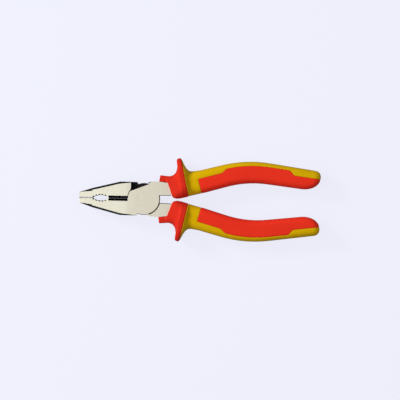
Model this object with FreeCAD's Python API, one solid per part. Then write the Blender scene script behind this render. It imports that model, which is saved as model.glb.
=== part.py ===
import FreeCAD, Part
import math
import os

# Insulated combination pliers, jaws closed, lying flat. Lengths are millimetres and angles are degrees.
# The origin is on the pivot axis, where it meets the ground back face of the head. +X points along the
# handles, -X along the jaws, +Y to the upper handle and +Z out of the front face of the head.
# The two steel halves are one forging, used twice: the back half is the front half turned half a turn
# about the X direction at mid thickness. The same turn carries one insulated handle onto the other.

# ---- Driving dimensions: head
HEAD_T = 12.0            # thickness of the head over its two ground faces
TIP_X = -53.5            # tip of the jaws
TIP_T = 9.4              # thickness left at the tip, where the ground faces taper together
TAPER_X = -14.0          # where that taper starts, just ahead of the joint
JAW_HALF_W = 13.9        # half width of the jaws at their widest
NOSE_X = -43.0           # where the outer edge of the jaw kinks towards the nose
NOSE_HALF_W = 8.0        # half width there
TIP_HALF_W = 4.4         # half width at the tip
SHOULDER_X = -19.8       # where the jaw reaches its full width
STOP_X = -6.2            # outer corner of the step that stops the opening
JAW_GAP = 0.1            # half the gap between the closed gripping faces

# ---- Driving dimensions: lap joint
R_DISC = 13.2            # round plate of each half
R_SEAT = R_DISC + 0.55   # round shoulder that it turns in
LAP_CLEARANCE = 0.03     # from each plate to the middle plane
SEAT_END_X = -11.0       # straight front end of the jaw above the other half's plate
STEP_ANGLE = -113.0      # polar angle at which the plate's rim meets the stop step
CORNER_ANGLE = 79.0      # polar angle of the neck's outer corner, which meets the step when open
R_RIVET = 4.0            # shank of the pivot rivet
R_RIVET_HEAD = 5.2       # its countersunk ends, ground flush
RIVET_HEAD_DEPTH = 1.3
RIVET_CLEARANCE = 0.05   # running fit in the front half

# ---- Driving dimensions: edges of the head
BEVEL_Y = 1.7            # width of the forged bevel along the outer edge of the jaw
NOSE_BEVEL_Y = 2.4       # its width beside the nose, from where it narrows towards the tip
BEVEL_END_Y = 0.1        # its width where it runs out
BEVEL_SLOPE = 1.3        # its depth for each millimetre of width
BEVEL_CLEAR = 0.5        # how far its cut starts outside the steel
EDGE_W = 0.45            # width of the chamfer round the plate and inside the neck
EDGE_D = 1.2             # depth of the chamfers
FLAT_PITCH = 1.15        # cross teeth of the flat gripping face
FLAT_DEPTH = 0.5
FLAT_FIRST = 0.9         # first crest, measured from the tip
GRIP_EDGE_W = 0.3        # width of the chamfer along the gripping face
PIPE_X0 = -42.6          # tip end of the pipe grip
PIPE_X1 = -29.1          # joint end of the pipe grip
PIPE_SAG = 2.3           # height of the oval above the middle
PIPE_FLARE = 0.45        # how much higher it is at the ground faces
PIPE_TEETH = 5           # notches that cut each side of the oval into teeth
PIPE_PITCH = 2.4
PIPE_FIRST = 0.9         # first notch, measured from the tip end
NOTCH_W = 2.3            # width of a notch at the ground face
NOTCH_DEPTH = 1.55       # its depth there; it runs out at mid thickness
NOTCH_CLEAR = 0.1        # how far a notch's cut starts inside the oval
NOTCH_END_W = 0.6        # where the notch has run out, its cut ends in the oval's space
NOTCH_END_DEPTH = 0.4
CUTTER_X0 = -29.4        # cutter pocket
CUTTER_X1 = -13.4        # just past the round shoulder
CUTTER_HALF_W = 2.15     # at the ground face
CUTTER_WALL_W = 1.65     # where the steep wall meets the ground edge
CUTTER_WALL_Z = 4.0      # depth of that meeting line
CUTTER_EDGE = 0.03       # half the gap left between the closed cutting edges

# ---- Driving dimensions: neck and tang
NECK_Y0 = 3.0            # inner side of the neck
NECK_Y1 = 14.6           # outer side of the neck
TANG_W = 8.0             # flat bar inside the handle
TANG_T = 7.0
TANG_START = -14.0       # along the handle's path, inside the neck
TANG_END = 97.0

# ---- Driving dimensions: handle path, two straight runs joined by an arc
RISE = 15.6              # slope of the run behind the guard
FALL = -7.2              # slope of the run to the tail
BEND_X, BEND_Y = 84.6, 25.85   # where the two runs would meet
R_BEND = 92.0
S_END = 113.1            # length of the path from the guard to the end of the tail
GUARD_X, GUARD_Y = 34.75, 12.9  # on the plane where red guard and yellow sleeve meet
GUARD_TILT = 12.5        # direction square to that plane
COLLAR_OUTER = (19.45, 13.7)   # two points on the guard's flat front, where it meets the neck
COLLAR_INNER = (23.15, 3.4)

# ---- Driving dimensions: insulated handle
GRIP_W0 = 19.3           # width behind the guard
GRIP_W1 = 16.6           # width at the tail
GRIP_T = 15.5            # thickness
GRIP_SQUARE = 2.9        # how square the section is: 2 is an ellipse
TAIL_LENGTH = 14.0       # the inner side of the tail rounds over this length
TAIL_OUTER = 5.0         # the outer side rounds over this length
TAIL_FACE = 6.0          # front and back round over this length
SKIN_IN = 2.2            # thickness of the soft grip on the inner side
SKIN_FACE = 1.8          # and on the front and back
SECTION_POINTS = 24      # points on each smooth section
GRIP_START = 10.9        # front edge of the soft grip, along the path
LINE_FRONT = 2.75        # line between sleeve and grip, measured outwards from the path: behind the guard
LINE_MIDDLE = 5.3        # the same line under the palm
LINE_TAIL = 1.55         # and at the tail
TONGUE_T = 13.4          # thickness of the guard's tongue
TONGUE_ROUND = 0.8
BEYOND = 14.0            # well outside the handle
CUT_REACH = 90.0         # a plane cut reaches this far each way, past everything it may meet
LAP_Z = HEAD_T / 2       # the lap joint is at mid thickness

# Stations of the guard and of the slope behind it, square to the plane where the two meet: distance
# from the plane, inner and outer reach, half thickness, squareness of the section.
GUARD_STATIONS = [
    (-16.6, -5.4, 9.0, 7.3, 6.0),
    (-13.9, -7.2, 9.1, 7.4, 6.0),
    (-12.2, -9.1, 9.2, 7.7, 5.0),
    (-10.3, -10.1, 9.4, 8.2, 4.2),
    (-8.6, -10.4, 9.9, 8.8, 3.6),
    (-7.0, -10.5, 11.1, 9.4, 3.1),
    (-5.5, -10.5, 13.2, 10.0, 2.8),
    (-4.5, -10.5, 15.9, 10.4, 2.6),
    (-3.9, -10.5, 19.0, 10.7, 2.5),
    (-3.4, -10.45, 21.1, 10.9, 2.4),
    (-2.4, -10.4, 22.4, 11.0, 2.4),
    (-1.2, -10.3, 22.6, 11.0, 2.4),
    (0.0, -10.1, 22.0, 10.8, 2.4),
    (0.8, -10.0, 19.2, 9.8, 2.4),
    (1.7, -9.95, 15.9, 8.8, 2.5),
    (2.9, -9.9, 12.7, 8.15, 2.6),
    (4.4, -9.85, 10.8, 7.85, 2.8),
    (6.4, -9.8, 9.8, 7.75, 2.9),
]

V = FreeCAD.Vector
Z = V(0, 0, 1)

# The handle's path starts above the guard's inner edge; the arc of the bend is tangent to both runs.
RISE_X, RISE_Y = math.cos(math.radians(RISE)), math.sin(math.radians(RISE))
START_X, START_Y = GUARD_X, BEND_Y - (BEND_X - GUARD_X) * RISE_Y / RISE_X
S_BEND0 = (BEND_X - GUARD_X) / RISE_X - R_BEND * math.tan(math.radians((RISE - FALL) / 2))
S_BEND1 = S_BEND0 + R_BEND * math.radians(RISE - FALL)
S_CREST = (S_BEND0 + S_BEND1) / 2
CENTRE_X = START_X + S_BEND0 * RISE_X + R_BEND * RISE_Y
CENTRE_Y = START_Y + S_BEND0 * RISE_Y - R_BEND * RISE_X


def polar(radius, angle):
    """Point on a circle about the pivot axis."""
    return (radius * math.cos(math.radians(angle)), radius * math.sin(math.radians(angle)))


def outline(start, *steps):
    """Closed wire at z = 0. A step of one point is a straight edge, of two an arc through the first to
    the second, and of three a curve to the third, pulled towards the first two."""
    edges = []
    here = V(*start)
    for step in [*steps, (start,)]:
        points = [V(*point) for point in step]
        if here.distanceToPoint(points[-1]) < 1e-6:
            continue
        if len(points) == 1:
            edges.append(Part.LineSegment(here, points[0]).toShape())
        elif len(points) == 2:
            edges.append(Part.Arc(here, points[0], points[1]).toShape())
        else:
            curve = Part.BezierCurve()
            curve.setPoles([here, *points])
            edges.append(curve.toShape())
        here = points[-1]
    return Part.Wire(edges)


def prism(wire, z0, z1):
    """Solid over a flat outline, from height z0 to z1."""
    solid = Part.Face(wire).extrude(V(0, 0, z1 - z0))
    solid.translate(V(0, 0, z0))
    return solid


def cut_beyond(shape, a, b, c, inside):
    """Cuts off what lies beyond the plane through a, b and c, on the side away from the point inside."""
    a, b, c, inside = V(*a), V(*b), V(*c), V(*inside)
    along = (b - a).normalize()
    normal = along.cross(c - a).normalize()
    if normal.dot(inside - a) > 0:
        normal = -normal
    across = normal.cross(along)
    signs = ((-1, -1), (1, -1), (1, 1), (-1, 1))
    corners = [a + (along * i + across * j) * CUT_REACH for i, j in signs]
    return shape.cut(Part.Face(Part.makePolygon(corners + corners[:1])).extrude(normal * CUT_REACH))


def turned(shape):
    """The shape after half a turn about the X direction at mid thickness."""
    copy = shape.copy()
    copy.rotate(V(0, 0, LAP_Z), V(1, 0, 0), 180)
    return copy


def solid_of(shape):
    """One clean solid out of a boolean result."""
    shape = shape.removeSplitter()
    solids = sorted(shape.Solids, key=lambda s: -s.Volume)
    return solids[0]


# ---- Steel half: lower jaw, front plate, upper neck and tang

def jaw_edge():
    """Outer edge of the lower jaw, from its full width to the tip."""
    return [
        ((SHOULDER_X, -JAW_HALF_W),),
        ((NOSE_X, -NOSE_HALF_W),),
        ((TIP_X, -TIP_HALF_W),),
    ]


NECK_END = [((19.5, 13.7),), ((28.0, 13.2),), ((29.5, 4.6),), ((22.5, 3.3),)]


def front_layer():
    """Jaw, plate and neck in one outline, for the half of the thickness in front of the lap."""
    return outline(
        (TIP_X, -CUTTER_EDGE),
        ((-R_DISC, -CUTTER_EDGE),),
        (polar(R_DISC, 169), polar(R_DISC, 157)),
        ((-11.2, 6.2), (-9.3, 6.95)),
        ((3.7, 12.15),),
        ((5.8, NECK_Y1),),
        ((12.2, NECK_Y1),),
        *NECK_END,
        ((math.sqrt(R_DISC**2 - NECK_Y0**2), NECK_Y0),),
        (polar(R_DISC, -45), polar(R_DISC, STEP_ANGLE)),
        ((STOP_X, -JAW_HALF_W),),
        *jaw_edge(),
    )


def back_jaw():
    """The jaw behind the lap, cut back to let the other half's plate in."""
    seat_y = math.sqrt(R_SEAT**2 - SEAT_END_X**2)
    return outline(
        (TIP_X, -CUTTER_EDGE),
        ((-R_SEAT, -CUTTER_EDGE),),
        (polar(R_SEAT, 198), (SEAT_END_X, -seat_y)),
        ((SEAT_END_X, -JAW_HALF_W),),
        *jaw_edge(),
    )


def back_neck():
    """The neck behind the lap, hollowed round the other half's plate."""
    return outline(
        (math.sqrt(R_SEAT**2 - NECK_Y0**2), NECK_Y0),
        (polar(R_SEAT, 45), polar(R_SEAT, CORNER_ANGLE)),
        ((5.8, NECK_Y1),),
        ((12.2, NECK_Y1),),
        *NECK_END,
    )


def face_at(x):
    """Height of the front ground face, which tapers from ahead of the joint to the tip."""
    return HEAD_T - (HEAD_T - TIP_T) / 2 * max(0.0, (TAPER_X - x) / (TAPER_X - TIP_X))


def bevel_wedges(a, b, width_a, width_b):
    """Wedges that bevel a run of the jaw's outer edge, at both ground faces."""
    ends = []
    for (x, y), width in ((a, width_a), (b, width_b)):
        inner, outer = y + width + BEVEL_CLEAR, y - BEVEL_CLEAR
        top = face_at(x) + BEVEL_SLOPE * BEVEL_CLEAR
        low = top - BEVEL_SLOPE * (inner - outer)
        corners = [V(x, inner, top), V(x, outer, top), V(x, outer, low)]
        ends.append(Part.makePolygon(corners + corners[:1]))
    wedge = Part.makeLoft(ends, True, True)
    return [wedge, wedge.mirror(V(0, 0, LAP_Z), Z)]


def jaw_bevels():
    """The forged bevels: widest beside the nose, narrower behind it, and running out at both ends."""
    tip, nose, shoulder = (TIP_X, -TIP_HALF_W), (NOSE_X, -NOSE_HALF_W), (SHOULDER_X, -JAW_HALF_W)
    wedges = bevel_wedges(tip, nose, BEVEL_END_Y, NOSE_BEVEL_Y)
    wedges += bevel_wedges(nose, shoulder, BEVEL_Y, BEVEL_Y)
    wedges += bevel_wedges(shoulder, (STOP_X, -JAW_HALF_W), BEVEL_Y, BEVEL_END_Y)
    return wedges


def cut_taper(jaw):
    """Both ground faces slope together from ahead of the joint to the tip."""
    top = [(TAPER_X, 0, HEAD_T), (TIP_X, 0, face_at(TIP_X)), (TAPER_X, 5, HEAD_T)]
    jaw = cut_beyond(jaw, *top, (-30, 0, LAP_Z))
    return cut_beyond(jaw, *[(x, y, HEAD_T - z) for x, y, z in top], (-30, 0, LAP_Z))


def flat_teeth():
    """Space between the cross teeth of the flat gripping face of the lower jaw."""
    count = int((PIPE_X0 - TIP_X) / FLAT_PITCH)
    points = [(TIP_X - 1, 1.0)]
    for i in range(count):
        crest = TIP_X + FLAT_FIRST + i * FLAT_PITCH
        points.append((crest, -JAW_GAP))
        points.append((crest + FLAT_PITCH / 2, -JAW_GAP - FLAT_DEPTH))
    points.append((PIPE_X0, -JAW_GAP))
    points.append((PIPE_X0, 1.0))
    return prism(outline(points[0], *[(p,) for p in points[1:]]), -1, HEAD_T + 1)


def pipe_grip():
    """Space of the oval below the middle, flared towards both faces, with notches that run out at
    mid thickness."""
    half = (PIPE_X1 - PIPE_X0) / 2
    radius = (half**2 + PIPE_SAG**2) / (2 * PIPE_SAG)
    centre_x, centre_y = (PIPE_X0 + PIPE_X1) / 2, radius - PIPE_SAG

    def at(x, depth, z):
        lean = math.asin((x - centre_x) / radius)
        reach = radius + depth
        return V(centre_x + reach * math.sin(lean), centre_y - reach * math.cos(lean), z)

    def oval(sag, z):
        wire = outline(
            (PIPE_X0, 1.0),
            ((PIPE_X0, 0.0),),
            ((centre_x, -sag), (PIPE_X1, 0.0)),
            ((PIPE_X1, 1.0),),
        )
        wire.translate(V(0, 0, z))
        return wire

    space = [prism(oval(PIPE_SAG, 0), -1, HEAD_T + 1)]
    for face in (HEAD_T, 0.0):
        flare = [oval(PIPE_SAG + PIPE_FLARE, face), oval(PIPE_SAG, LAP_Z)]
        space.append(Part.makeLoft(flare, True, True))
    for i in range(PIPE_TEETH):
        x = PIPE_X0 + PIPE_FIRST + i * PIPE_PITCH
        wide = [(x - NOTCH_W / 2, -NOTCH_CLEAR), (x, NOTCH_DEPTH), (x + NOTCH_W / 2, -NOTCH_CLEAR)]
        end_w = NOTCH_END_W / 2
        thin = [(x - end_w, -NOTCH_END_DEPTH), (x, -NOTCH_CLEAR), (x + end_w, -NOTCH_END_DEPTH)]
        for face in (HEAD_T, 0.0):
            ends = [[at(*point, z) for point in points] for points, z in ((wide, face), (thin, LAP_Z))]
            space.append(Part.makeLoft([Part.makePolygon(end + end[:1]) for end in ends], True, True))
    return space


def edge_wedges(a, b, width):
    """Wedges that chamfer a straight edge of both ground faces; the steel is left of a to b."""
    a, b = V(*a, face_at(a[0])), V(*b, face_at(b[0]))
    across = V(a.y - b.y, b.x - a.x, 0).normalize() * width
    corners = [a + across, a - across, a - across - V(0, 0, 2 * EDGE_D)]
    wedge = Part.Face(Part.makePolygon(corners + corners[:1])).extrude(b - a)
    return [wedge, wedge.mirror(V(0, 0, LAP_Z), Z)]


def rim_wedge():
    """Ring sector that chamfers the free rim of the front plate."""
    inner, outer = R_DISC - EDGE_W, R_DISC + EDGE_W
    profile = [V(inner, 0, HEAD_T), V(outer, 0, HEAD_T), V(outer, 0, HEAD_T - 2 * EDGE_D)]
    neck_angle = math.degrees(math.asin(NECK_Y0 / R_DISC)) + 1
    wedge = Part.Face(Part.makePolygon(profile + profile[:1]))
    ring = wedge.revolve(V(0, 0, 0), Z, neck_angle - STEP_ANGLE)
    ring.rotate(V(0, 0, 0), Z, STEP_ANGLE)
    return ring


def cutter_pocket():
    """Space over the cutting edge: a steep wall, then the ground edge, mirrored about mid thickness."""
    wall = [(-CUTTER_HALF_W, HEAD_T + 1), (-CUTTER_HALF_W, HEAD_T), (-CUTTER_WALL_W, HEAD_T - CUTTER_WALL_Z)]
    below = [(y, HEAD_T - z) for y, z in reversed(wall)]
    section = [(1.0, HEAD_T + 1), *wall, (-CUTTER_EDGE, LAP_Z), *below, (1.0, -1.0)]
    wire = Part.makePolygon([V(CUTTER_X0, y, z) for y, z in [*section, section[0]]])
    return Part.Face(wire).extrude(V(CUTTER_X1 - CUTTER_X0, 0, 0))


def tang():
    """Flat bar that follows the handle's path, with a rounded end."""
    sides = []
    for side in (-1, 1):
        reach = side * TANG_W / 2
        sides.append([path_point(s, reach) for s in (TANG_START, S_BEND0, S_CREST, S_BEND1, TANG_END)])
    low, high = sides
    nose = path_point(TANG_END + TANG_W / 2, 0)
    wire = outline(
        low[0],
        (low[1],),
        (low[2], low[3]),
        (low[4],),
        (nose, high[4]),
        (high[3],),
        (high[2], high[1]),
        (high[0],),
    )
    return prism(wire, LAP_Z - TANG_T / 2, LAP_Z + TANG_T / 2)


def steel_half():
    """One forging, before the rivet hole is drilled."""
    front = prism(front_layer(), LAP_Z + LAP_CLEARANCE, HEAD_T)
    jaw = prism(back_jaw(), 0, LAP_Z + LAP_CLEARANCE)
    neck = prism(back_neck(), 0, LAP_Z + LAP_CLEARANCE)
    head = front.fuse([jaw, neck])
    head = cut_taper(head)
    wedges = edge_wedges((R_DISC - EDGE_W, NECK_Y0), NECK_END[-1][0], EDGE_W)
    wedges += edge_wedges((PIPE_X0, -JAW_GAP), (TIP_X - 1, -JAW_GAP), GRIP_EDGE_W)
    head = head.cut([*jaw_bevels(), flat_teeth(), *pipe_grip(), cutter_pocket(), *wedges, rim_wedge()])
    return solid_of(head.fuse(tang()))


def rivet(clearance=0.0):
    """Countersunk pivot rivet; a clearance makes it the hole for a running fit."""
    shank, head = R_RIVET + clearance, R_RIVET_HEAD + clearance
    lower = [(0, 0), (head, 0), (shank, RIVET_HEAD_DEPTH)]
    upper = [(r, HEAD_T - z) for r, z in reversed(lower)]
    profile = lower + upper
    wire = Part.makePolygon([V(r, 0, z) for r, z in [*profile, profile[0]]])
    return Part.Face(wire).revolve(V(0, 0, 0), Z, 360)


# ---- Insulated handle

def path_frame(s):
    """Point on the handle's path and its slope, at a distance s behind the start of the first run."""
    if s <= S_BEND0:
        return (START_X + s * RISE_X, START_Y + s * RISE_Y), RISE
    slope = RISE - math.degrees((min(s, S_BEND1) - S_BEND0) / R_BEND)
    lean = math.radians(slope)
    past = max(0.0, s - S_BEND1)
    x = CENTRE_X - R_BEND * math.sin(lean) + past * math.cos(lean)
    y = CENTRE_Y + R_BEND * math.cos(lean) + past * math.sin(lean)
    return (x, y), slope


def path_point(s, t):
    """Point at a distance t to the outer side of the path."""
    (x, y), slope = path_frame(s)
    lean = math.radians(slope)
    return (x - t * math.sin(lean), y + t * math.cos(lean))


def section(centre, slope, inner, outer, half_t, square):
    """Closed smooth section square to a direction, from the inner to the outer reach."""
    lean = math.radians(slope)
    mid, half_w = (inner + outer) / 2, (outer - inner) / 2
    points = []
    for i in range(SECTION_POINTS):
        angle = 2 * math.pi * (i + 0.5) / SECTION_POINTS
        c, s = math.cos(angle), math.sin(angle)
        t = mid + half_w * math.copysign(abs(c) ** (2 / square), c)
        z = LAP_Z + half_t * math.copysign(abs(s) ** (2 / square), s)
        points.append(V(centre[0] - t * math.sin(lean), centre[1] + t * math.cos(lean), z))
    curve = Part.BSplineCurve()
    curve.interpolate(Points=points, PeriodicFlag=True)
    return Part.Wire(curve.toShape())


def guard_section(s, inner, outer, half_t, square):
    """Section at one station of the guard."""
    lean = math.radians(GUARD_TILT)
    centre = (GUARD_X + s * math.cos(lean), GUARD_Y + s * math.sin(lean))
    return section(centre, GUARD_TILT, inner, outer, half_t, square)


def grip_width(s):
    """Width of the handle, which narrows evenly to the tail."""
    return GRIP_W0 + (GRIP_W1 - GRIP_W0) * s / S_END


def quarter(s, length, depth):
    """How far a side has rounded in, over the given length before the tail's end."""
    into = max(0.0, s - (S_END - length))
    return depth * (1 - math.sqrt(max(0.0, 1 - (into / length) ** 2)))


def handle_section(s, inset_in=0.0, inset_face=0.0):
    """Section of the handle square to its path; insets make the core under the soft grip."""
    half_w, half_t = grip_width(s) / 2, GRIP_T / 2
    outer = half_w - quarter(s, TAIL_OUTER, half_w - 3.2)
    inner = -half_w + quarter(s, TAIL_LENGTH, half_w + 2.0)
    face = half_t - quarter(s, TAIL_FACE, half_t - 3.0)
    centre, slope = path_frame(s)
    return section(centre, slope, inner + inset_in, outer - inset_in, face - inset_face, GRIP_SQUARE)


def collar():
    """The guard's flange and collar, with a flat slanting front."""
    loft = Part.makeLoft([guard_section(*row) for row in GUARD_STATIONS if row[0] <= 0], True, False)
    return cut_beyond(loft, COLLAR_OUTER, COLLAR_INNER, (*COLLAR_OUTER, 1.0), (30, 10, LAP_Z))


def handle_body():
    """Outer shape of the handle behind the guard."""
    slope = [guard_section(*row) for row in GUARD_STATIONS if row[0] >= 0]
    body = [handle_section(s) for s in (14, 22, 30, 40, 50, 60, 70, 80, 90, 97)]
    tail = [handle_section(S_END - back) for back in (13.8, 11, 8, 5.4, 3.6, 2.2, 1.1, 0.4, 0.0)]
    return Part.makeLoft([*slope, *body, *tail], True, False)


def handle_core():
    """Yellow core that the soft grip is moulded on."""
    stations = [9, 20, 32, 44, 56, 68, 80, 92, 100, 104.5]
    wires = [handle_section(s, SKIN_IN, SKIN_FACE) for s in stations]
    return Part.makeLoft(wires, True, False)


def grip_region():
    """Everything on the inner side of the line where the soft grip meets the sleeve."""
    far = S_END + 5
    step_up = [path_point(*st) for st in ((34.0, LINE_FRONT), (32.8, LINE_MIDDLE), (36.8, LINE_MIDDLE))]
    step_down = [path_point(*st) for st in ((89.3, LINE_MIDDLE), (87.8, LINE_TAIL), (92.0, LINE_TAIL))]
    wire = outline(
        path_point(GRIP_START, -BEYOND),
        (path_point(GRIP_START, LINE_FRONT),),
        (path_point(30.8, LINE_FRONT),),
        step_up,
        (path_point(S_CREST, LINE_MIDDLE), path_point(S_BEND1, LINE_MIDDLE)),
        (path_point(85.2, LINE_MIDDLE),),
        step_down,
        (path_point(far, LINE_TAIL),),
        (path_point(far, -BEYOND),),
        (path_point(S_BEND1, -BEYOND),),
        (path_point(S_CREST, -BEYOND), path_point(S_BEND0, -BEYOND)),
    )
    return prism(wire, -BEYOND, HEAD_T + BEYOND)


def tongue():
    """Block that runs forward from the guard along the outer side of the neck."""
    wire = outline(
        (12.2, 14.62),
        ((13.1, 20.0),),
        ((20.0, 19.35),),
        ((28.0, 19.5),),
        ((28.0, 12.0),),
        ((19.5, 13.72),),
    )
    block = prism(wire, LAP_Z - TONGUE_T / 2, LAP_Z + TONGUE_T / 2)
    boxes = [(edge, edge.BoundBox) for edge in block.Edges]
    front = [edge for edge, box in boxes if box.XMax < 13.2]
    top = [edge for edge, box in boxes if box.YMin > 19.3 and box.ZLength < 0.1]
    return block.makeFillet(TONGUE_ROUND, front + top)


def handle_pieces(steel):
    """Guard, sleeve and soft grip of the handle that the steel half's tang goes into."""
    body = handle_body()
    grip = solid_of(body.common(grip_region()).cut(handle_core()))
    guard = solid_of(collar().fuse(tongue()).cut(steel))
    sleeve = solid_of(body.cut(grip).cut(steel))
    return {"guard": guard, "sleeve": sleeve, "grip": grip}


os.makedirs("parts", exist_ok=True)
blank = steel_half()
parts = {
    "front_half": blank.cut(rivet(RIVET_CLEARANCE)),
    "back_half": turned(blank).cut(rivet()),
    "pivot_rivet": rivet(),
}
for name, piece in handle_pieces(blank).items():
    parts["upper_" + name] = piece
    parts["lower_" + name] = turned(piece)
for name, shape in parts.items():
    shape.exportStep(f"parts/{name}.step")
    print(f"{name}: {shape.Volume:.0f} mm3, {len(shape.Solids)} solid, valid {shape.isValid()}")
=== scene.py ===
# %% [markdown]
# Insulated combination pliers
# The tool is two forged steel levers on one rivet. Each lever's tang sits in a handle moulded in three
# parts: a red guard in front, a yellow sleeve round the tang, and a soft red grip over the sleeve.
# The steel comes from the CAD model as it is. The mouldings are modelled here, because their soft
# edges and the fine groove between the colours are what makes a moulded handle look real.

# %% The frame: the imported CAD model
import math

import bpy
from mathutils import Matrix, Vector


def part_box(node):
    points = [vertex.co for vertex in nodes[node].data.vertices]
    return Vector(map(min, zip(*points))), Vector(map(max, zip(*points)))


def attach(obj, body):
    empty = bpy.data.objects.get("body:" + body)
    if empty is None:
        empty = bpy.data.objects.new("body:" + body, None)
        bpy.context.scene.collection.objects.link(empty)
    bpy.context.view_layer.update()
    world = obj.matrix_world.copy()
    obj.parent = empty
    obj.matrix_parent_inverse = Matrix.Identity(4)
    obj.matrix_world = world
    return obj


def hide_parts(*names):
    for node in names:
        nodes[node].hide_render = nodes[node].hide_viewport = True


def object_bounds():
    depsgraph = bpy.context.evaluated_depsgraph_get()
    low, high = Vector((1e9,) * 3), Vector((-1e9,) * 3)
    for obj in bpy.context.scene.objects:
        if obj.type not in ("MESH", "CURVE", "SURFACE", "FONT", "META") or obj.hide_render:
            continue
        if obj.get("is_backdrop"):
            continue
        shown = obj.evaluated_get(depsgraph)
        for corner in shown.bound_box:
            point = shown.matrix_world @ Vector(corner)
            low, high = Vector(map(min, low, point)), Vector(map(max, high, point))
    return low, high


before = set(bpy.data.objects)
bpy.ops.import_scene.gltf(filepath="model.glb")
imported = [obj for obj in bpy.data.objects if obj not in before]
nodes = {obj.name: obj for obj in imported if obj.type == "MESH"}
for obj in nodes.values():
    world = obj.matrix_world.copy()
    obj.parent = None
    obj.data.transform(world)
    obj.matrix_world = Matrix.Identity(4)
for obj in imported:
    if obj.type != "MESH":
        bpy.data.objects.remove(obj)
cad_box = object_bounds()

MM = 0.001
for name in sorted(nodes):
    low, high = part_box(name)
    print(name, [round((b - a) / MM, 1) for a, b in zip(low, high)], "mm")

# %% [markdown]
# Small helpers
# An operator works on whatever is selected, and the CAD nodes are selected when they arrive. So each
# step starts from nothing selected. Everything below is modelled in millimetres and kept in metres.

# %% Selecting and finishing
head_low, head_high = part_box("pivot_rivet")
MID_Z = (head_low[2] + head_high[2]) / 2


def nothing_selected():
    if bpy.context.object and bpy.context.object.mode != "OBJECT":
        bpy.ops.object.mode_set(mode="OBJECT")
    bpy.ops.object.select_all(action="DESELECT")


def pick(*objects):
    nothing_selected()
    for obj in objects:
        obj.select_set(True)
    bpy.context.view_layer.objects.active = objects[0]
    return objects[0]


def modify(obj, kind, **settings):
    """Adds one modifier and applies it at once."""
    pick(obj)
    modifier = obj.modifiers.new(kind.lower(), kind)
    for key, value in settings.items():
        setattr(modifier, key, value)
    bpy.ops.object.modifier_apply(modifier=modifier.name)
    return obj


def copy_of(obj, name):
    copy = obj.copy()
    copy.data = obj.data.copy()
    copy.name = copy.data.name = name
    bpy.context.collection.objects.link(copy)
    return copy


def size_of(obj):
    return [round(side / MM, 1) for side in obj.dimensions]


print("middle of the thickness at", round(MID_Z / MM, 2), "mm")

# %% [markdown]
# The line of the handle
# Each handle runs out straight from the guard, bends once under the palm, and runs straight to the
# tail. A section is placed by how far along this line it is, and how far it reaches to both sides.

# %% Two straight runs and one arc
RISE = math.radians(15.6)
FALL = math.radians(-7.2)
BEND_R = 92.0
BEND = (84.6, 25.85)
GUARD_X = 34.75
LENGTH = 113.1  # from the guard to the end of the tail

RUN_X, RUN_Y = math.cos(RISE), math.sin(RISE)
START = (GUARD_X, BEND[1] - (BEND[0] - GUARD_X) * RUN_Y / RUN_X)
BEND_IN = (BEND[0] - GUARD_X) / RUN_X - BEND_R * math.tan((RISE - FALL) / 2)
BEND_OUT = BEND_IN + BEND_R * (RISE - FALL)
CENTRE = (
    START[0] + BEND_IN * RUN_X + BEND_R * RUN_Y,
    START[1] + BEND_IN * RUN_Y - BEND_R * RUN_X,
)


def on_line(s):
    """Place and direction on the handle's line, s millimetres behind the guard."""
    if s <= BEND_IN:
        return (START[0] + s * RUN_X, START[1] + s * RUN_Y), RISE
    slope = RISE - (min(s, BEND_OUT) - BEND_IN) / BEND_R
    past = max(0.0, s - BEND_OUT)
    x = CENTRE[0] - BEND_R * math.sin(slope) + past * math.cos(slope)
    y = CENTRE[1] + BEND_R * math.cos(slope) + past * math.sin(slope)
    return (x, y), slope


print("bend from", round(BEND_IN, 1), "to", round(BEND_OUT, 1), "mm behind the guard")

# %% [markdown]
# Lofting a moulding
# A handle could be one cylinder pushed about, or a curve with a bevel. Neither gives a section that
# changes as it goes. Here each section is a plane with its corners bevelled round, placed square to
# the line. Bridging one section to the next gives clean strips, as boat builders do with their ribs.

# %% Sections and lofts
CORNER_STEPS = 8


def section(place, slope, inner, outer, half_t, corner):
    """A rectangle with rounded corners, from the inner to the outer reach, square to the slope."""
    middle = (inner + outer) / 2
    x = place[0] - middle * math.sin(slope)
    y = place[1] + middle * math.cos(slope)
    turn = (math.pi / 2, 0, slope + math.pi / 2)
    bpy.ops.mesh.primitive_plane_add(size=1, location=(x * MM, y * MM, MID_Z), rotation=turn)
    rib = bpy.context.object
    rib.scale = ((outer - inner) * MM, 2 * half_t * MM, 1)
    bpy.ops.object.transform_apply(location=True, rotation=True, scale=True)
    if corner > 0:
        bpy.ops.object.mode_set(mode="EDIT")
        bpy.ops.mesh.select_all(action="SELECT")
        bpy.ops.mesh.bevel(offset=corner * MM, segments=CORNER_STEPS, affect="VERTICES")
        bpy.ops.object.mode_set(mode="OBJECT")
    return rib


def loft(name, ribs):
    """One closed solid through the ribs."""
    body = pick(*ribs)
    bpy.ops.object.join()
    body.name = body.data.name = name
    bpy.ops.object.mode_set(mode="EDIT")
    bpy.ops.mesh.select_all(action="SELECT")
    bpy.ops.mesh.delete(type="ONLY_FACE")
    bpy.ops.mesh.select_all(action="SELECT")
    bpy.ops.mesh.bridge_edge_loops()
    bpy.ops.mesh.select_all(action="DESELECT")
    bpy.ops.mesh.select_non_manifold()
    bpy.ops.mesh.fill_holes(sides=0)
    bpy.ops.mesh.select_all(action="SELECT")
    bpy.ops.mesh.normals_make_consistent(inside=False)
    bpy.ops.object.mode_set(mode="OBJECT")
    print(name, len(body.data.polygons), "faces,", size_of(body), "mm")
    return body


# %% [markdown]
# The whole handle
# Behind the guard the section swells into the guard's flange, and at the tail it rounds off, quickly
# on the outer side and slowly on the inner side. The core is the same handle, thinner all round.

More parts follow.
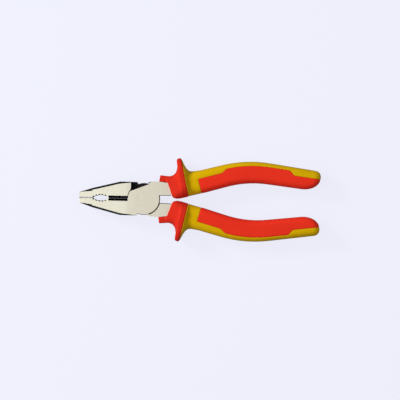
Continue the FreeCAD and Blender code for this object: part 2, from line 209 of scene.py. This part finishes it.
# %% Handle and core
FRONT_W, TAIL_W, THICK = 19.3, 16.6, 15.5
SKIN_SIDE, SKIN_FACE = 2.2, 1.8
GUARD_SLOPE = math.radians(12.5)
GUARD_PLACE = (34.75, 12.9)


def rounding(s, length, depth):
    """How far a side has rounded in, over a length before the tail's end."""
    into = max(0.0, s - (LENGTH - length))
    return depth * (1 - math.sqrt(max(0.0, 1 - (into / length) ** 2)))


def handle_rib(s, side=0.0, face=0.0):
    half_w = (FRONT_W + (TAIL_W - FRONT_W) * s / LENGTH) / 2
    outer = half_w - rounding(s, 5.0, half_w - 3.2) - side
    inner = -half_w + rounding(s, 14.0, half_w + 2.0) + side
    half_t = THICK / 2 - rounding(s, 6.0, THICK / 2 - 3.0) - face
    corner = 0.74 * min(half_t, (outer - inner) / 2, 6.9)
    place, slope = on_line(s)
    return section(place, slope, inner, outer, half_t, corner)


def guard_rib(s, inner, outer, half_t, corner):
    place = (GUARD_PLACE[0] + s * math.cos(GUARD_SLOPE), GUARD_PLACE[1] + s * math.sin(GUARD_SLOPE))
    return section(place, GUARD_SLOPE, inner, outer, half_t, corner)


behind_guard = [
    (0.0, -10.1, 22.0, 10.8, 9.6),
    (0.45, -10.05, 20.7, 10.7, 9.3),
    (0.9, -10.0, 18.9, 9.6, 8.6),
    (1.7, -9.95, 15.9, 8.7, 8.0),
    (2.9, -9.9, 12.7, 8.1, 7.4),
    (4.4, -9.85, 10.8, 7.8, 7.0),
    (6.4, -9.8, 9.8, 7.7, 6.7),
]
stations = [14, 22, 30, 36, 42, 48, 54, 60, 66, 72, 80, 90, 97, 99.3, 102.1, 105.1, 107.7, 109.5]
tail_end = [110.9, 112.0, 112.7, 113.1]
nothing_selected()
flange_ribs = [guard_rib(*row) for row in behind_guard]
handle = loft("handle", flange_ribs + [handle_rib(s) for s in stations + tail_end])
core_stations = [6, 14, 22, 30, 36, 42, 48, 54, 60, 66, 72, 80, 92, 100, 104.5]
nothing_selected()
core = loft("core", [handle_rib(s, SKIN_SIDE, SKIN_FACE) for s in core_stations])

# %% [markdown]
# Where the soft grip ends
# The grip covers the inner side of the handle and wraps over both faces, up to a line that steps
# outwards under the palm. The line is followed by a tall box lofted along the handle. What the box
# holds of the handle, less the core, is the grip, and cutting the same shape out of the handle
# leaves the sleeve, so the two always meet.

# %% The pocket for the grip
LINE_FRONT, LINE_MIDDLE, LINE_TAIL = 2.75, 5.3, 1.55
GRIP_START = 10.9
STEP_UP, STEP_DOWN = 31, 86
STEP_LENGTH, STEP_PARTS = 5.5, 8
POCKET_REACH = 14


def eased(t):
    t = min(1.0, max(0.0, t))
    return t * t * (3 - 2 * t)


def line_reach(s):
    up = eased((s - STEP_UP) / STEP_LENGTH) * (LINE_MIDDLE - LINE_FRONT)
    down = eased((s - STEP_DOWN) / STEP_LENGTH) * (LINE_TAIL - LINE_MIDDLE)
    return LINE_FRONT + up + down


def step_stations(start):
    return [start + i * STEP_LENGTH / STEP_PARTS for i in range(STEP_PARTS + 1)]


steps = [GRIP_START, 20, 30] + step_stations(STEP_UP)
steps += [42, 47, 52, 57, 62, 67, 72, 79] + step_stations(STEP_DOWN)
steps += [100, 120]
nothing_selected()
pocket_ribs = [section(*on_line(s), -POCKET_REACH, line_reach(s), POCKET_REACH, 0) for s in steps]
pocket = loft("pocket", pocket_ribs)
modify(pocket, "BOOLEAN", operation="DIFFERENCE", object=core, solver="EXACT")
print("pocket less core:", size_of(pocket))

# %% [markdown]
# Grip and sleeve
# Both are cut, then remeshed into small even quads and smoothed a little. That rounds every edge as a
# mould does, and where red meets yellow the two rounded edges make the fine groove of a real handle.

# %% Cutting and softening
GRAIN = 0.38 * MM


def soften(obj, rounds):
    modify(obj, "REMESH", mode="VOXEL", voxel_size=GRAIN)
    modify(obj, "SMOOTH", factor=0.5, iterations=rounds)
    pick(obj)
    bpy.ops.object.shade_smooth()
    print(obj.name, len(obj.data.polygons), "faces,", size_of(obj), "mm")
    return obj


def steel_cutter(node):
    """A merged copy of a steel half, to cut the hole it sits in."""
    cutter = pick(copy_of(nodes[node], node + "_cutter"))
    bpy.ops.object.mode_set(mode="EDIT")
    bpy.ops.mesh.select_all(action="SELECT")
    bpy.ops.mesh.remove_doubles(threshold=0.002 * MM)
    bpy.ops.object.mode_set(mode="OBJECT")
    return cutter


steel = steel_cutter("front_half")
upper_grip = copy_of(handle, "upper_grip_skin")
modify(upper_grip, "BOOLEAN", operation="INTERSECT", object=pocket, solver="EXACT")
soften(upper_grip, 6)
upper_sleeve = copy_of(handle, "upper_sleeve_skin")
modify(upper_sleeve, "BOOLEAN", operation="DIFFERENCE", object=pocket, solver="EXACT")
modify(upper_sleeve, "BOOLEAN", operation="DIFFERENCE", object=steel, solver="EXACT")
soften(upper_sleeve, 6)

# %% [markdown]
# The guard
# The guard is lofted like the handle, with sections that grow into the flange that keeps the thumb
# off the steel. Its front is cut to a flat slant, and a short tongue runs forward along the neck.

# %% Flange, collar and tongue
guard_stations = [
    (-16.6, -5.4, 9.0, 7.3, 2.2),
    (-13.9, -7.2, 9.1, 7.4, 2.6),
    (-12.2, -9.1, 9.2, 7.7, 3.4),
    (-10.3, -10.1, 9.4, 8.2, 4.6),
    (-8.6, -10.4, 9.9, 8.7, 5.8),
    (-7.0, -10.5, 11.1, 9.2, 7.0),
    (-5.9, -10.5, 12.5, 9.6, 7.9),
    (-5.2, -10.5, 14.0, 10.2, 8.5),
    (-4.5, -10.5, 15.9, 10.7, 9.0),
    (-4.25, -10.5, 19.0, 10.9, 9.5),
    (-4.05, -10.45, 21.1, 11.0, 9.8),
    (-3.4, -10.4, 22.2, 11.0, 9.9),
    (-2.4, -10.4, 22.5, 11.0, 9.9),
    (-1.2, -10.3, 22.6, 11.0, 9.9),
    (0.0, -10.1, 22.0, 10.8, 9.6),
]
COLLAR_OUTER, COLLAR_INNER = (19.45, 13.7), (23.15, 3.4)
nothing_selected()
upper_guard = loft("upper_guard_skin", [guard_rib(*row) for row in guard_stations])


def slice_off(obj, near, far):
    """Cuts along an upright plane through two points and closes it. What lies ahead on the left stays."""
    pick(obj)
    bpy.ops.object.mode_set(mode="EDIT")
    bpy.ops.mesh.select_all(action="SELECT")
    across = Vector((far[1] - near[1], near[0] - far[0], 0)).normalized()
    bpy.ops.mesh.bisect(
        plane_co=(near[0] * MM, near[1] * MM, MID_Z),
        plane_no=across,
        use_fill=True,
        clear_outer=True,
    )
    bpy.ops.object.mode_set(mode="OBJECT")


slice_off(upper_guard, COLLAR_OUTER, COLLAR_INNER)
print("collar cut:", size_of(upper_guard))

tongue_ribs = [(11.0, 14.78, 20.2), (19.5, 13.72, 19.4), (28.0, 12.6, 19.5)]
nothing_selected()
tongue = loft("tongue", [section((x, 0), 0, low, high, 6.7, 1.1) for x, low, high in tongue_ribs])
slice_off(tongue, (13.1, 20.0), (12.2, 14.62))
modify(upper_guard, "BOOLEAN", operation="UNION", object=tongue, solver="EXACT")
modify(upper_guard, "BOOLEAN", operation="DIFFERENCE", object=steel, solver="EXACT")
soften(upper_guard, 5)

# %% [markdown]
# The lower handle
# Both handles come out of one mould: the lower one is the upper one after half a turn about the
# direction of the jaws. The turn is done on the points, so that each object stays at the origin.

# %% Turning the copies over
def turned_over(obj, name):
    copy = pick(copy_of(obj, name))
    bpy.ops.object.mode_set(mode="EDIT")
    bpy.ops.mesh.select_all(action="SELECT")
    bpy.ops.transform.rotate(value=math.pi, orient_axis="X", center_override=(0, 0, MID_Z))
    bpy.ops.object.mode_set(mode="OBJECT")
    low = [round(min(v.co[i] for v in copy.data.vertices) / MM, 1) for i in range(3)]
    print(name, "lowest corner", low, "mm")
    return copy


lower_grip = turned_over(upper_grip, "lower_grip_skin")
lower_sleeve = turned_over(upper_sleeve, "lower_sleeve_skin")
lower_guard = turned_over(upper_guard, "lower_guard_skin")
for tool in (handle, core, pocket, tongue, steel):
    bpy.data.objects.remove(tool, do_unlink=True)

# %% [markdown]
# Nodes for the finishes
# A finish is a tree of nodes. The helpers below add one node, link it, and mix two values by a mask,
# so that each finish reads as a short recipe. Patterns read Object coordinates, which stay with the
# piece when a joint moves it.

# %% Recipes
def new_finish(name):
    material = bpy.data.materials.new(name)
    material.use_nodes = True
    tree = material.node_tree
    tree.nodes.clear()
    output = tree.nodes.new("ShaderNodeOutputMaterial")
    shader = tree.nodes.new("ShaderNodeBsdfPrincipled")
    tree.links.new(shader.outputs["BSDF"], output.inputs["Surface"])
    return material, tree, shader


def node(tree, kind, inputs=None, **settings):
    made = tree.nodes.new("ShaderNode" + kind)
    for key, value in settings.items():
        setattr(made, key, value)
    for key, value in (inputs or {}).items():
        if isinstance(value, bpy.types.NodeSocket):
            tree.links.new(value, made.inputs[key])
        else:
            made.inputs[key].default_value = value
    return made


def sums(tree, operation, a, b=0.0):
    return node(tree, "Math", {0: a, 1: b}, operation=operation).outputs[0]


def mixed(tree, factor, a, b):
    """Colour a where the factor is 0, colour b where it is 1."""
    mix = node(tree, "Mix", data_type="RGBA")
    for socket, value in ((mix.inputs[0], factor), (mix.inputs[6], a), (mix.inputs[7], b)):
        if isinstance(value, bpy.types.NodeSocket):
            tree.links.new(value, socket)
        else:
            socket.default_value = value
    return mix.outputs[2]


def between(tree, value, low, high, out_low=0.0, out_high=1.0):
    """Maps low..high onto out_low..out_high, clamped."""
    keys = {"Value": value, "From Min": low, "From Max": high, "To Min": out_low, "To Max": out_high}
    return node(tree, "MapRange", keys).outputs["Result"]


def noise(tree, place, scale, detail=3.0, roughness=0.55):
    keys = {"Vector": place, "Scale": scale, "Detail": detail, "Roughness": roughness}
    return node(tree, "TexNoise", keys).outputs["Fac"]


def rgb(red, green, blue):
    """A colour as a screen shows it, 0 to 255, made linear."""
    parts = [c / 255 for c in (red, green, blue)]
    return [c / 12.92 if c <= 0.04045 else ((c + 0.055) / 1.055) ** 2.4 for c in parts] + [1.0]


# %% [markdown]
# Forged and ground steel
# The halves are forged, blackened in oil, and then ground flat on both faces. So one material has two
# finishes: bright with fine lines on the ground faces, and black and slightly pitted everywhere else.
# The ground faces are those that look up or down and lie near the full thickness. The rivet and the
# hairline round it are ground with them. The joint's plates and necks are a little greyer than the jaws.

# %% Steel
LEVEL = 0.985
GROUND_FROM = 4.4 * MM
RIVET_R = 5.6 * MM
JAWS_END, PLATE_START = -16 * MM, -7 * MM


def steel_finish(name):
    material, tree, shader = new_finish(name)
    place = node(tree, "TexCoord").outputs["Object"]
    normal = node(tree, "NewGeometry").outputs["True Normal"]
    facing = node(tree, "SeparateXYZ", {0: normal}).outputs["Z"]
    height = node(tree, "SeparateXYZ", {0: place}).outputs["Z"]
    level = sums(tree, "GREATER_THAN", sums(tree, "ABSOLUTE", facing), LEVEL)
    across = node(tree, "VectorMath", {0: place, 1: (1, 1, 0)}, operation="MULTIPLY").outputs["Vector"]
    radius = node(tree, "VectorMath", {0: across}, operation="LENGTH").outputs["Value"]
    polished = sums(tree, "MAXIMUM", level, sums(tree, "LESS_THAN", radius, RIVET_R))
    from_middle = sums(tree, "ABSOLUTE", sums(tree, "SUBTRACT", height, MID_Z))
    outside = sums(tree, "GREATER_THAN", from_middle, GROUND_FROM)
    ground = sums(tree, "MULTIPLY", polished, outside)

    drawn_out = {"Vector": place, "Scale": (0.06, 1.0, 1.0), "Rotation": (0, 0, 0.35)}
    lines = node(tree, "Mapping", drawn_out).outputs[0]
    scratches = noise(tree, lines, 5200, 2.0, 0.6)
    clouds = noise(tree, place, 95, 3.0, 0.6)
    pits = noise(tree, place, 900, 4.0, 0.65)

    bright = mixed(tree, between(tree, clouds, 0.3, 0.7), rgb(227, 224, 203), rgb(233, 230, 211))
    along = node(tree, "SeparateXYZ", {0: place}).outputs["X"]
    bright = mixed(tree, between(tree, along, JAWS_END, PLATE_START), bright, rgb(225, 219, 200))
    bright = mixed(tree, between(tree, scratches, 0.35, 0.75, 0.0, 0.35), bright, rgb(204, 197, 180))
    black = mixed(tree, between(tree, pits, 0.35, 0.7), rgb(7, 8, 8), rgb(27, 28, 26))
    tree.links.new(mixed(tree, ground, black, bright), shader.inputs["Base Color"])
    tree.links.new(sums(tree, "MULTIPLY", ground, 0.3), shader.inputs["Metallic"])
    brushed = between(tree, scratches, 0.3, 0.7, 0.34, 0.46)
    rough = sums(tree, "ADD", brushed, sums(tree, "MULTIPLY", pits, 0.08))
    tree.links.new(rough, shader.inputs["Roughness"])
    relief = sums(tree, "ADD", sums(tree, "MULTIPLY", pits, 0.5), sums(tree, "MULTIPLY", scratches, 0.25))
    bump = node(tree, "Bump", {"Height": relief, "Distance": 0.03 * MM, "Strength": 0.5})
    tree.links.new(bump.outputs["Normal"], shader.inputs["Normal"])
    shader.inputs["Specular IOR Level"].default_value = 0.2
    return material


forged = steel_finish("forged_and_ground_steel")
for name in ("front_half", "back_half", "pivot_rivet"):
    nodes[name].data.materials.clear()
    nodes[name].data.materials.append(forged)
print("steel nodes:", len(forged.node_tree.nodes))

# %% [markdown]
# Moulded plastic
# Sleeve and guard are hard, satin plastic; the grip is a softer compound with a fine matte skin.
# The three share a recipe: slow changes of colour, a fine grain in the bump, and a little dullness
# where hands rub. Only the colours and the size of the grain differ. The guard's red is the grip's red
# made darker, as painted shade that offsets the key light its slopes face.

# %% Mouldings
def moulded_finish(name, colour, deep, grain, relief, dull):
    material, tree, shader = new_finish(name)
    place = node(tree, "TexCoord").outputs["Object"]
    slow = noise(tree, place, 38, 2.0)
    fine = noise(tree, place, grain, 3.0, 0.6)
    speckle = noise(tree, place, grain * 0.35, 2.0)
    base = mixed(tree, between(tree, slow, 0.3, 0.7, 0.0, 0.35), colour, deep)
    base = mixed(tree, between(tree, speckle, 0.45, 0.8, 0.0, 0.25), base, deep)
    tree.links.new(base, shader.inputs["Base Color"])
    tree.links.new(between(tree, slow, 0.3, 0.7, dull, dull + 0.1), shader.inputs["Roughness"])
    bump = node(tree, "Bump", {"Height": fine, "Distance": relief * MM, "Strength": 0.6})
    tree.links.new(bump.outputs["Normal"], shader.inputs["Normal"])
    shader.inputs["Specular IOR Level"].default_value = 0.14
    shader.inputs["Specular Tint"].default_value = colour
    return material


yellow = moulded_finish("yellow_insulation", rgb(208, 168, 8), rgb(190, 148, 4), 2600, 0.04, 0.42)
red_soft = moulded_finish("red_soft_grip", rgb(230, 52, 33), rgb(211, 39, 25), 3400, 0.06, 0.5)
# painted shade: the guard's red is darker than the grip's so that the key light on its slopes does not
# over-brighten it
red_guard_with_painted_shade = moulded_finish("red_guard_plastic_painted_shade", rgb(208, 46, 30), rgb(192, 32, 22), 2200, 0.03, 0.4)

skins = [
    (upper_sleeve, "upper_sleeve", "front_lever", yellow, "yellow_insulation"),
    (lower_sleeve, "lower_sleeve", "back_lever", yellow, "yellow_insulation"),
    (upper_grip, "upper_grip", "front_lever", red_soft, "red_grip"),
    (lower_grip, "lower_grip", "back_lever", red_soft, "red_grip"),
    (upper_guard, "upper_guard", "front_lever", red_guard_with_painted_shade, "red_guard"),
    (lower_guard, "lower_guard", "back_lever", red_guard_with_painted_shade, "red_guard"),
]
for obj, cad_node, body, material, slot in skins:
    obj.data.materials.clear()
    obj.data.materials.append(material)
    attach(obj, body)
    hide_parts(cad_node)
    print(obj.name, "on", body)

# %% [markdown]
# The studio
# The floor is like a light table: a pale sheet that glows evenly. It is kept out of the tool's own
# lighting and reflections, so the black bevels stay black. Two soft lights stand on the jaws' side, low
# enough that the ground steel doesn't mirror them into the camera, and a weak one stands on the tails'
# side to open the shadow behind the guards. A dim, even sky fills the rest. The camera looks straight
# down through a long lens, so hardly any side shows.

# %% Floor, light and camera
low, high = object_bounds()
nothing_selected()
bpy.ops.mesh.primitive_plane_add(size=1, location=(0.05, 0, low[2] - 0.0002))
floor = bpy.context.object
floor.name = "floor"
floor.scale = (4, 4, 1)
bpy.ops.object.transform_apply(location=True, rotation=True, scale=True)
paper, tree, shader = new_finish("floor_paper")
fibre = noise(tree, node(tree, "TexCoord").outputs["Object"], 400, 3.0)
tree.links.new(mixed(tree, fibre, rgb(70, 70, 75), rgb(76, 76, 81)), shader.inputs["Base Color"])
shader.inputs["Roughness"].default_value = 0.9
shader.inputs["Specular IOR Level"].default_value = 0.0
shader.inputs["Emission Color"].default_value = rgb(239, 240, 252)
shader.inputs["Emission Strength"].default_value = 0.92
floor.visible_diffuse = False
floor.visible_glossy = False
floor.data.materials.append(paper)
floor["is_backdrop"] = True

world = bpy.data.worlds.new("sky")
world.use_nodes = True
world.node_tree.nodes["Background"].inputs["Color"].default_value = rgb(246, 246, 252)
world.node_tree.nodes["Background"].inputs["Strength"].default_value = 0.23
bpy.context.scene.world = world
bpy.context.scene.view_settings.view_transform = "Standard"

middle = Vector(((low[0] + high[0]) / 2, (low[1] + high[1]) / 2, MID_Z))


def softbox(name, offset, size, power):
    data = bpy.data.lights.new(name, "AREA")
    data.shape, data.size, data.energy = "SQUARE", size, power
    light = bpy.data.objects.new(name, data)
    light.location = middle + Vector(offset)
    light.rotation_euler = (-Vector(offset)).to_track_quat("-Z", "Y").to_euler()
    bpy.context.collection.objects.link(light)
    return light


softbox("key", (-1.0, 0.5, 0.7), 0.35, 15.8)
softbox("fill", (-0.75, -0.3, 0.85), 0.8, 6.0)
softbox("rim", (1.0, 0.25, 0.4), 0.6, 2.6)

camera_data = bpy.data.cameras.new("camera")
camera_data.lens = 135
camera = bpy.data.objects.new("camera", camera_data)
bpy.context.collection.objects.link(camera)
VIEW_WIDTH = 332 * MM
ROLL = math.radians(1.5)
distance = VIEW_WIDTH * camera_data.lens / camera_data.sensor_width
camera.location = (46.5 * MM, 0.3 * MM, high[2] - 8 * MM + distance)
camera.rotation_euler = (0, 0, ROLL)
camera_data.clip_end = 10
bpy.context.scene.camera = camera
print("camera", round(distance, 3), "m above the tool")

# %% Both boxes
visual_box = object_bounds()
boxes = {"cad": [list(corner) for corner in cad_box], "visual": [list(corner) for corner in visual_box]}
for name, (low, high) in boxes.items():
    print(name, [round((b - a) / MM, 2) for a, b in zip(low, high)], "mm")
